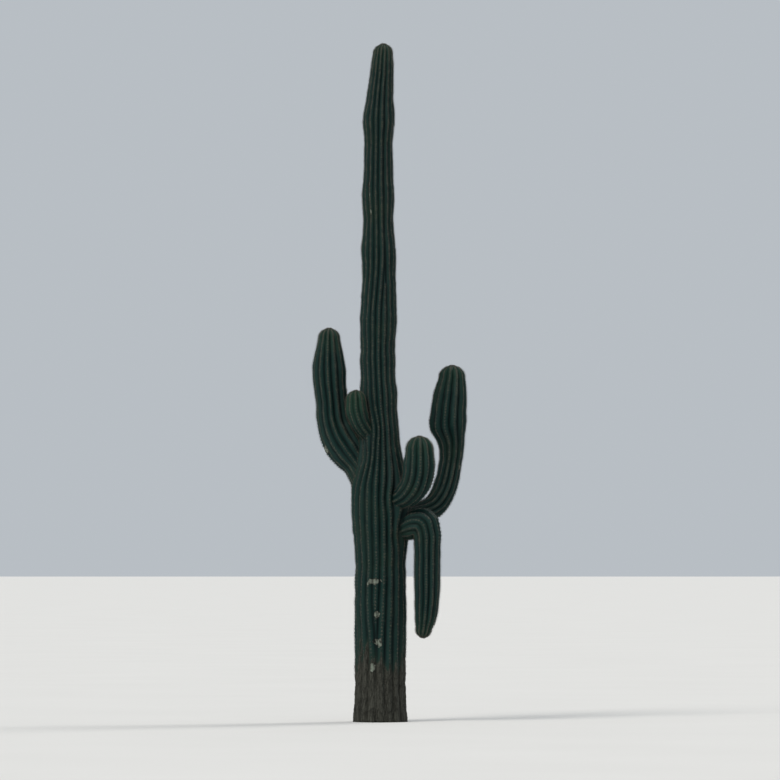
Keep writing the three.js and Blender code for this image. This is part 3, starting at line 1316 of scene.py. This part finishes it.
def dome_rows(
    edge: float, rise: float, step: float, samples: int = 400, fewest: int = 6
) -> tuple[np.ndarray, np.ndarray]:
    """Spaces the rings of a rounded tip evenly over its curve.

    Args:
        edge: the radius where the tip starts.
        rise: the tip's height over that edge.
        step: the distance between two rings.
        samples: how many places its curve is measured at.
        fewest: the fewest steps from its edge to its point.

    Returns:
        How far up each ring is, as a share of the rise, and its radius.
    """
    angle = np.linspace(0.0, 0.5 * math.pi, samples)
    walk = running_total(np.hypot(np.diff(rise * np.sin(angle)), np.diff(edge * np.cos(angle))))
    count = max(fewest, round(walk[-1] / step))
    chosen = np.interp(walk[-1] * np.arange(1, count) / count, walk, angle)
    return np.sin(chosen), edge * np.cos(chosen)


@dataclass(kw_only=True)
class Trunk(Limb):
    """The upright stem, from its flat cut at ground level to its tip.

    Attributes:
        samples: how many places it is measured at, more than an arm because it is longer.
        height: its height.
        radii: (height, radius over the crests) pairs, up to where the rounded tip starts.
        shifts: (height, sideways shift of the axis) pairs.
        pitches: (height, distance between two rings) pairs.
        part_ribs: the ribs that don't run its whole height.
        rib_fade: half the height over which such a rib starts or ends.
        worn_height: the height under which the ribs are worn shallow.
        worn_depth: the share of their depth that is left at the ground.
        cork_height: the height where the cork gives way to green skin.
        cork_edge: what makes that edge ragged.
        cork_stretch: the share of a length that the raggedness follows, along x, y and z.
        cork_sway: the lowest and highest that the edge may lie, as shares of its height.
        cork_fade: where the skin is all cork and where it is all green, as shares of the edge's height.
        twist: how far the ribs wander round the trunk, in radians.
        twist_length: the height of one radian of that wander.
        twist_start: where in it the ground is, in radians.
        twist_heights: the heights between which it sets in.
        collars: where the arms leave it.
        collar_bend: how far a collar turns the ribs away, as a share of how far round from it they are.
        collar_length: how tall a collar is, in its widths.
        collar_height: how far it stands out.
        collar_reach: how far round the arm it swells, in its widths.
    """

    samples: int = 4000
    height: float = 7.0
    radii: Stations = (
        (0.0, 0.285), (0.3, 0.266), (1.2, 0.266), (1.7, 0.261), (2.0, 0.287), (2.25, 0.297),
        (2.45, 0.287), (2.85, 0.208), (3.05, 0.197), (3.2, 0.186), (3.4, 0.190), (3.58, 0.176),
        (3.72, 0.180), (3.86, 0.174), (4.12, 0.189), (4.25, 0.181), (4.4, 0.178), (4.6, 0.168),
        (4.84, 0.176), (5.15, 0.153), (5.45, 0.163), (5.65, 0.149), (6.03, 0.145), (6.2, 0.162),
        (6.43, 0.138), (6.7, 0.117), (6.82, 0.110), (6.895, 0.101),
    )
    shifts: Stations = (
        (0.0, 0.0), (2.6, 0.0), (3.7, -0.026), (4.12, -0.020), (4.6, -0.013), (5.0, -0.021),
        (6.2, -0.016), (6.45, -0.004), (6.7, 0.015), (7.0, 0.032),
    )
    pitches: Stations = ((0.0, 0.022), (1.0, 0.018), (3.0, 0.0145), (5.0, 0.0126), (6.8, 0.0118))
    part_ribs: tuple[PartRib, ...] = (
        PartRib(5, 1.35, True), PartRib(14, 1.0, True), PartRib(11, 2.95, False), PartRib(2, 3.5, False),
        PartRib(16, 4.55, False), PartRib(8, 5.3, False),
    )
    rib_fade: float = 0.38
    worn_height: float = 1.1
    worn_depth: float = 0.4
    cork_height: float = 0.62
    cork_edge: tuple[Ripples, ...] = (Ripples(6, 0.35, 0.22), Ripples(9, 0.09, 0.20))
    cork_stretch: Stretch = (1.0, 1.0, 0.3)
    cork_sway: Span = (0.4, 1.9)
    cork_fade: Span = (0.35, 1.5)
    twist: float = 0.012
    twist_length: float = 1.0 / 2.1
    twist_start: float = 0.7
    twist_heights: Span = (0.2, 1.5)
    collars: tuple[Collar, ...] = ()
    collar_bend: float = 0.7
    collar_length: float = 1.2
    collar_height: float = 0.016
    collar_reach: float = 1.15

    def tip(self) -> np.ndarray:
        """Gives the point of the tip."""
        return np.array([smooth_through(self.shifts)(self.height), 0.0, self.height])

    def rows(self) -> Rows:
        """Lays out the rings, closer together towards the top as the areoles are.

        Returns:
            The rings.
        """
        edge_height, edge = self.radii[-1]
        fine = np.linspace(0.0, edge_height, self.samples)
        steps = running_total(np.diff(fine) / smooth_through(self.pitches)(fine[1:]))
        heights = np.interp(np.linspace(0.0, steps[-1], round(steps[-1]) + 1), steps, fine)
        rise = self.height - edge_height
        up, tip_radii = dome_rows(edge, rise, self.tip_step)
        radius = np.concatenate([smooth_through(self.radii)(heights), tip_radii])
        heights = np.concatenate([heights, edge_height + rise * up])
        middle = np.stack([smooth_through(self.shifts)(heights), np.zeros_like(heights), heights], axis=1)
        worn = 1.0 - ramp(heights, 0.0, self.worn_height)
        depth = self.rib_depth * (1.0 - (1.0 - self.worn_depth) * worn)
        grown = np.ones((len(heights), self.ribs))
        for rib in self.part_ribs:
            way = 1.0 if rib.upwards else -1.0
            grown[:, rib.number] = ramp(way * (heights - rib.half_grown) / self.rib_fade, -1.0, 1.0)
        ones = np.ones((len(heights), 1))
        return Rows(middle, ones * (1.0, 0.0, 0.0), ones * (0.0, 1.0, 0.0), radius, depth, grown, heights)

    def age(self, points: np.ndarray) -> np.ndarray:
        """Gives how corky the skin is: all of it at the ground, and less up to a ragged edge.

        Args:
            points: the surface's points.

        Returns:
            A number for each point, from 0 to 1.
        """
        ragged = uneven(self.cork_edge, points * self.cork_stretch, self.seed, 1.0)
        edge = self.cork_height * np.clip(ragged, *self.cork_sway)
        return 1.0 - ramp(points[..., 2], self.cork_fade[0] * edge, self.cork_fade[1] * edge)

    def _round_collar(self, collar: Collar, rows: Rows, angle: np.ndarray) -> tuple[np.ndarray, np.ndarray]:
        """Measures from a collar.

        Args:
            collar: the collar.
            rows: the rings.
            angle: the direction of each corner from the trunk's axis.

        Returns:
            How far round the trunk each corner is from it, in radians, and how far off in collar widths.
        """
        turn = turned_from(angle, collar.turn)
        aside = turn * rows.radius[:, None] / collar.width
        beyond = (rows.run[:, None] - collar.height) / (self.collar_length * collar.width)
        return turn, np.hypot(aside, beyond)

    def bend_ribs(self, rows: Rows, angle: np.ndarray) -> np.ndarray:
        """Lets the ribs wander a little, and parts them round each arm.

        Args:
            rows: the rings.
            angle: the direction of each corner of straight ribs.

        Returns:
            The direction of each corner.
        """
        wander = self.twist * np.sin(rows.run / self.twist_length + self.twist_start)
        bent = angle + (wander * ramp(rows.run, *self.twist_heights))[:, None]
        for collar in self.collars:
            turn, distance = self._round_collar(collar, rows, angle)
            bent = bent + self.collar_bend * turn * bell(distance)
        return bent

    def swell(self, rows: Rows, angle: np.ndarray) -> np.ndarray:
        """Raises a low collar round the foot of each arm.

        Args:
            rows: the rings.
            angle: the direction of each corner.

        Returns:
            How far each corner stands out.
        """
        raised = np.zeros_like(angle)
        for collar in self.collars:
            distance = self._round_collar(collar, rows, angle)[1]
            raised += self.collar_height * bell(distance / self.collar_reach)
        return raised


@dataclass(kw_only=True)
class Arm(Limb):
    """An arm that bends in one upright plane.

    Attributes:
        turn: that plane's angle from +X towards +Y, in degrees.
        stations: (distance out from the trunk's axis, height, radius over the crests), and last the tip.
        shoulder: the distance from the trunk's axis where it leaves the trunk.
        pitch: the distance between two rings.
        neck: the length over which its ribs deepen from there on.
        neck_depth: the share of their depth that they start with.
        pinch: how far the neck draws in there, as a share of the radius.
        pinch_length: how far before and after that place it does.
        ease: how far before and after a bend its rings turn with it.
    """

    turn: float
    stations: Stations
    shoulder: float
    pitch: float = 0.0138
    neck: float = 0.34
    neck_depth: float = 0.4
    pinch: float = 0.13
    pinch_length: float = 0.075
    ease: float = 0.08

    def _centreline(self) -> Centreline:
        """Runs a curve through the arm's stations.

        Returns:
            The curve.
        """
        angle = math.radians(self.turn)
        points = [(s[0] * math.cos(angle), s[0] * math.sin(angle), s[1]) for s in self.stations]
        return Centreline(np.array(points))

    def tip(self) -> np.ndarray:
        """Gives the point of the tip."""
        line = self._centreline()
        return line.point(line.end)

    def rows(self) -> Rows:
        """Lays out the rings along the arm and over its tip.

        Returns:
            The rings.
        """
        line = self._centreline()
        edge = line.end - 1
        fine = np.linspace(0.0, edge, self.samples)
        walk = running_total(np.linalg.norm(np.diff(line.at(fine), axis=0), axis=1))
        radius_at = smooth_through([(i, station[2]) for i, station in enumerate(self.stations[:-1])])
        run = np.linspace(0.0, walk[-1], round(walk[-1] / self.pitch) + 1)
        places = np.interp(run, walk, fine)
        rise = float(np.linalg.norm(self.tip() - line.point(edge)))
        up, tip_radii = dome_rows(float(radius_at(edge)), rise, self.tip_step)
        radius = np.concatenate([radius_at(places), tip_radii])
        places = np.concatenate([places, edge + up])
        run = np.concatenate([run, walk[-1] + rise * up])
        angle = math.radians(self.turn)
        sideways = np.broadcast_to([-math.sin(angle), math.cos(angle), 0.0], (len(places), 3))
        outward = self._lean(sideways, line.heading(places), run)
        middle = line.at(places)
        past = run - run[self._leaves(middle)]
        radius = radius * (1.0 - self.pinch * bell(past / self.pinch_length))
        depth = self.rib_depth * (self.neck_depth + (1.0 - self.neck_depth) * ramp(past, 0.0, self.neck))
        return Rows(middle, outward, sideways, radius, depth, np.ones((len(places), self.ribs)), run)

    def _lean(self, sideways: np.ndarray, heading: np.ndarray, run: np.ndarray) -> np.ndarray:
        """Turns the rings into a bend early and out of it late, so that they don't cross on its inner side.

        Args:
            sideways: unit vectors square to the bend.
            heading: the direction of the arm's centreline at each ring.
            run: how far along the arm each ring is.

        Returns:
            The rings' outward vectors, longer as a ring leans more, so that the arm stays as thick.
        """
        near = bell((run[:, None] - run) / self.ease) * np.gradient(run)
        eased = unit(near @ heading)
        return np.cross(sideways, eased) / np.sum(eased * heading, axis=1, keepdims=True)

    def _leaves(self, middle: np.ndarray) -> int:
        """Finds the ring where the arm leaves the trunk."""
        return int(np.argmax(np.hypot(middle[:, 0], middle[:, 1]) > self.shoulder))

    def collar(self) -> Collar:
        """Finds the place where the arm comes out of the trunk.

        Returns:
            The collar there.
        """
        rows = self.rows()
        ring = self._leaves(rows.middle)
        return Collar(math.radians(self.turn), float(rows.middle[ring, 2]), float(rows.radius[ring]))


def make_arms() -> list[Arm]:
    """Sets out the plant's arms and its young bud.

    Returns:
        The arms.
    """
    return [
        Arm(
            name="left_arm", nodes=("left_arm_elbow", "left_arm_upright"), slot="skin", ribs=13, seed=211,
            turn=168.0, shoulder=0.235,
            stations=(
                (0.060, 2.380, 0.130), (0.138, 2.485, 0.156), (0.232, 2.640, 0.176),
                (0.350, 2.800, 0.192), (0.440, 2.950, 0.190), (0.496, 3.120, 0.172),
                (0.513, 3.300, 0.163), (0.535, 3.500, 0.170), (0.543, 3.680, 0.166),
                (0.543, 3.945, 0.112), (0.542, 4.060),
            ),
            scars=(Scar(20.0, 0.62, 0.030, 0.045),),
        ),
        Arm(
            name="right_arm", nodes=("right_arm_elbow", "right_arm_upright"), slot="skin", ribs=12, seed=223,
            turn=35.0, shoulder=0.27,
            stations=(
                (0.120, 2.095, 0.092), (0.305, 2.125, 0.108), (0.525, 2.160, 0.114),
                (0.676, 2.223, 0.119), (0.785, 2.347, 0.122), (0.842, 2.480, 0.122),
                (0.886, 2.650, 0.118), (0.904, 2.830, 0.129), (0.893, 2.930, 0.149),
                (0.857, 3.060, 0.194), (0.864, 3.200, 0.187), (0.887, 3.380, 0.174),
                (0.911, 3.560, 0.138), (0.914, 3.690),
            ),
            scars=(Scar(-60.0, 1.05, 0.022, 0.03),),
        ),
        Arm(
            name="front_arm", nodes=("front_arm_elbow", "front_arm_upright"), slot="skin", ribs=12, seed=227,
            turn=-42.0, shoulder=0.265,
            stations=(
                (0.110, 2.255, 0.095), (0.235, 2.285, 0.115), (0.370, 2.335, 0.134),
                (0.480, 2.430, 0.150), (0.531, 2.550, 0.158), (0.542, 2.670, 0.161),
                (0.541, 2.790, 0.143), (0.541, 2.930),
            ),
        ),
        Arm(
            name="hanging_arm", nodes=("hanging_arm_shoulder", "hanging_arm_drop"), slot="skin", ribs=12,
            seed=229, turn=-20.0, shoulder=0.25, ease=0.18,
            stations=(
                (0.110, 1.950, 0.098), (0.245, 1.985, 0.124), (0.370, 2.030, 0.154),
                (0.474, 2.024, 0.159), (0.513, 1.925, 0.144), (0.515, 1.780, 0.135),
                (0.514, 1.500, 0.134), (0.510, 1.250, 0.126), (0.494, 1.060, 0.108),
                (0.478, 0.960, 0.082), (0.462, 0.870),
            ),
            scars=(Scar(70.0, 0.75, 0.02, 0.035),),
        ),
        Arm(
            name="left_bud", nodes=("left_bud",), slot="young_skin", ribs=10, seed=233,
            turn=215.0, shoulder=0.2,
            stations=(
                (0.070, 2.930, 0.074), (0.160, 2.985, 0.098), (0.245, 3.080, 0.108),
                (0.296, 3.200, 0.110), (0.306, 3.310, 0.099), (0.308, 3.408),
            ),
            crown=0.020,
        ),
    ]


def make_trunk(arms: Sequence[Arm]) -> Trunk:
    """Sets out the trunk, with a collar for each arm.

    Args:
        arms: the arms.

    Returns:
        The trunk.
    """
    scars = (
        Scar(-106.0, 1.44, 0.070, 0.036), Scar(-98.0, 1.10, 0.036, 0.055), Scar(-97.0, 0.82, 0.046, 0.040),
        Scar(-107.0, 0.56, 0.034, 0.050), Scar(-128.0, 5.54, 0.020, 0.025), Scar(-126.0, 5.43, 0.018, 0.020),
        Scar(-124.0, 5.26, 0.022, 0.025), Scar(62.0, 1.9, 0.045, 0.07), Scar(120.0, 3.35, 0.03, 0.05),
        Scar(15.0, 4.9, 0.022, 0.04), Scar(-176.0, 6.20, 0.024, 0.022), Scar(-6.0, 6.12, 0.024, 0.026),
        Scar(-179.0, 5.45, 0.020, 0.030), Scar(-2.0, 5.43, 0.020, 0.022), Scar(5.0, 5.22, 0.020, 0.022),
        Scar(-4.0, 4.06, 0.026, 0.024),
    )
    return Trunk(
        name="trunk", nodes=("trunk",), slot="skin", ribs=20, seed=199, columns=10, scars=scars, strips=2,
        collars=tuple(arm.collar() for arm in arms),
    )


# The plant and its studio

@dataclass
class Saguaro:
    """The whole plant.

    Attributes:
        tuft: the spines of an areole.
        pad: the felt of an areole.
        skin_finish: the finish of grown limbs.
        young_finish: the finish of the bud.
        tuft_limit: the most areoles whose spines make one piece.
        looks: the materials of each slot, once they are made.
    """

    tuft: SpineTuft = SpineTuft()
    pad: FeltPad = FeltPad()
    skin_finish: SkinFinish = SkinFinish()
    young_finish: SkinFinish = SkinFinish(
        name="young_skin", flank=(0.0065, 0.0265, 0.0195), crest=(0.0170, 0.0440, 0.0310),
        young=(0.015, 0.045, 0.025),
    )
    tuft_limit: int = 2300
    looks: dict[str, list[bpy.types.Material]] = field(default_factory=dict)

    def build(self) -> list[bpy.types.Object]:
        """Builds every piece of the plant.

        Returns:
            The pieces.
        """
        self.looks = {
            "skin": [self.skin_finish.material()],
            "young_skin": [self.young_finish.material()],
            "spines": [tone.value.material() for tone in SpineTone],
            "felt": [tone.value.material() for tone in FeltTone],
        }
        arms = make_arms()
        limbs = [make_trunk(arms), *arms]
        pieces = []
        for limb in limbs:
            pieces += self._limb(limb, [other for other in limbs if other is not limb])
        return pieces

    def _limb(self, limb: Limb, others: Sequence[Limb]) -> list[bpy.types.Object]:
        """Builds a limb, leaving off the areoles that another limb covers.

        Args:
            limb: the limb.
            others: the plant's other limbs.

        Returns:
            Its skin, its felt and its spines.
        """
        rows = limb.rows()
        skin = limb.skin(rows)
        body = self._piece(f"{limb.name}_skin", limb.slot, limb.shape(rows, skin))
        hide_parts(*limb.nodes)
        areoles = limb.areoles(rows, skin)
        areoles = areoles.only(~np.any([other.covers(areoles.place) for other in others], axis=0))
        felt = self._piece(f"{limb.name}_felt", "felt", self.pad.grow(areoles, limb.seed + FELT_DRAW))
        pieces = [body, felt]
        parts = math.ceil(len(areoles.size) / self.tuft_limit)
        for number, some in enumerate(np.array_split(np.arange(len(areoles.size)), parts)):
            suffix = f"_{number + 1}" if parts > 1 else ""
            spines = self.tuft.grow(areoles.only(some), limb.seed + SPINE_DRAW + number)
            pieces.append(self._piece(f"{limb.name}_spines{suffix}", "spines", spines))
        return pieces

    def _piece(self, name: str, slot: str, shape: Shape) -> bpy.types.Object:
        """Makes a piece that rides on the plant's body.

        Args:
            name: its name.
            slot: its material slot.
            shape: its mesh in the making.

        Returns:
            The piece.
        """
        piece = shape.piece(name, self.looks[slot])
        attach(piece, BODY)
        return piece


@dataclass(frozen=True)
class Sun:
    """A far light.

    Attributes:
        name: its name.
        way: the direction that it comes from.
        strength: how strong it is.
        softness: how wide it is, in radians.
        colour: its colour.
    """

    name: str
    way: Place
    strength: float
    softness: float
    colour: Colour


@dataclass
class Studio:
    """A pale floor, soft light and the camera.

    Attributes:
        floor_reach: from the plant to the floor's edge.
        eye: where the camera stands: as far off as the photographer, at eye height.
        aim: what it looks at.
        lens: its focal length, in millimetres.
        sky: the colour of the air all round.
        sky_strength: how bright that is.
        suns: the lights.
    """

    floor_reach: float = 1500.0
    eye: Place = (0.10, -55.0, 1.55)
    aim: Place = (0.10, 0.0, 3.42)
    lens: float = 246.0
    sky: Colour = (0.80, 0.86, 0.92)
    sky_strength: float = 0.6
    suns: tuple[Sun, ...] = (
        Sun("key_light", (-0.60, -0.70, 0.80), 2.0, 0.4, (1.0, 0.97, 0.92)),
        Sun("rim_light", (0.75, 0.60, 0.9), 1.3, 0.35, (1.0, 0.98, 0.95)),
    )

    def build(self) -> None:
        """Sets up the floor, the lights and the camera."""
        self._floor()
        self._air()
        for sun in self.suns:
            light = bpy.data.lights.new(sun.name, "SUN")
            light.energy, light.angle, light.color = sun.strength, sun.softness, sun.colour
            lamp = in_scene(sun.name, light)
            lamp.rotation_euler = Vector(sun.way).to_track_quat("Z", "Y").to_euler()
        camera = bpy.data.cameras.new("camera")
        camera.lens = self.lens
        camera.clip_end = 2.0 * self.floor_reach
        stand = in_scene("camera", camera)
        stand.location = self.eye
        stand.rotation_euler = (Vector(self.aim) - Vector(self.eye)).to_track_quat("-Z", "Y").to_euler()
        bpy.context.scene.camera = stand
        bpy.context.scene.view_settings.view_transform = "Standard"

    def _floor(self) -> None:
        """Lays the floor at ground level."""
        corners = self.floor_reach * np.array([(-1, -1, 0), (1, -1, 0), (1, 1, 0), (-1, 1, 0)])
        floor = Shape(corners, [[0, 1, 2, 3]], smooth=False).piece("floor", [FloorFinish().material()])

    def _air(self) -> None:
        """Fills the air with soft, even light."""
        world = bpy.data.worlds.new("air")
        world.use_nodes = True
        background = world.node_tree.nodes["Background"]
        background.inputs["Color"].default_value = (*self.sky, 1.0)
        background.inputs["Strength"].default_value = self.sky_strength
        bpy.context.scene.world = world


def main() -> None:
    """Builds the plant in its studio and logs how many faces each piece has."""
    logging.basicConfig(level=logging.INFO, format="%(name)s: %(message)s")
    Studio().build()
    pieces = Saguaro().build()
    for piece in pieces:
        LOG.info("%s: %d faces", piece.name, len(piece.data.polygons))
    LOG.info("%d pieces stand for %d packed solids", len(pieces), len(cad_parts))


if __name__ == "__main__":
    main()
